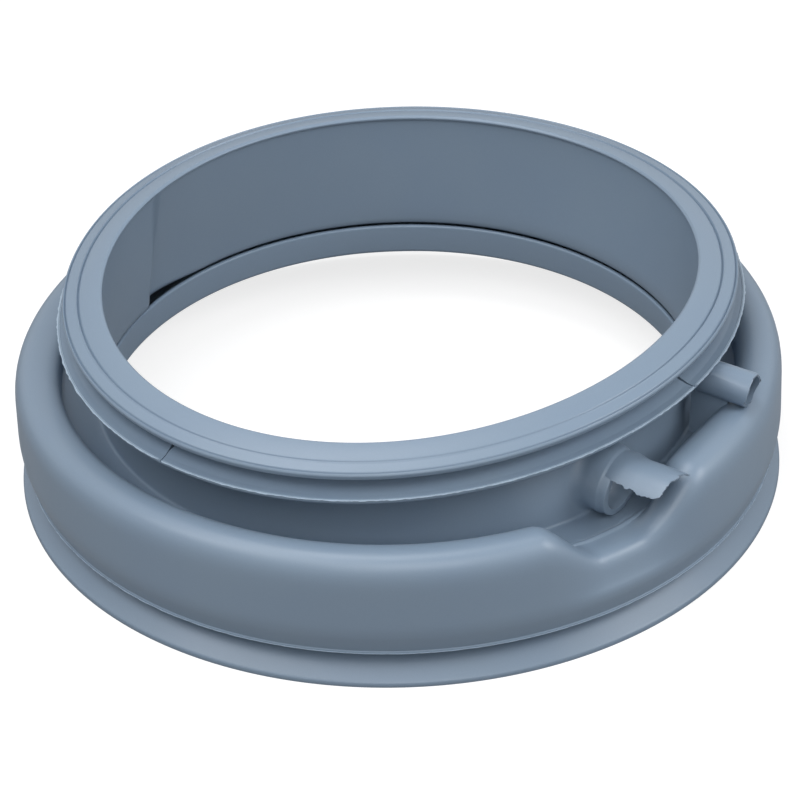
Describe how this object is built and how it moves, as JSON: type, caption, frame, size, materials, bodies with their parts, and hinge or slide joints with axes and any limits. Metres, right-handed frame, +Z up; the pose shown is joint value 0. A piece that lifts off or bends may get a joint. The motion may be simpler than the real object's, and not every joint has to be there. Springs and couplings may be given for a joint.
{
  "type": "appliance door seal",
  "caption": "Moulded rubber bellows ring that seals a front-loading washing machine door, with a grooved cabinet lip, a folded wall, a tub flange and water ports",
  "frame": {"origin": "Centre of the tub flange's edge, on the surface that the seal lies on", "axes": "+Z up, from the tub flange toward the door lip along the ring's axis; +X outward along the water ports"},
  "size_m": [0.3906, 0.39, 0.1193],
  "materials": {
    "rubber": "matte blue grey moulded rubber"
  },
  "bodies": {
    "root": {"door_seal": "rubber"}
  },
  "joints": []
}
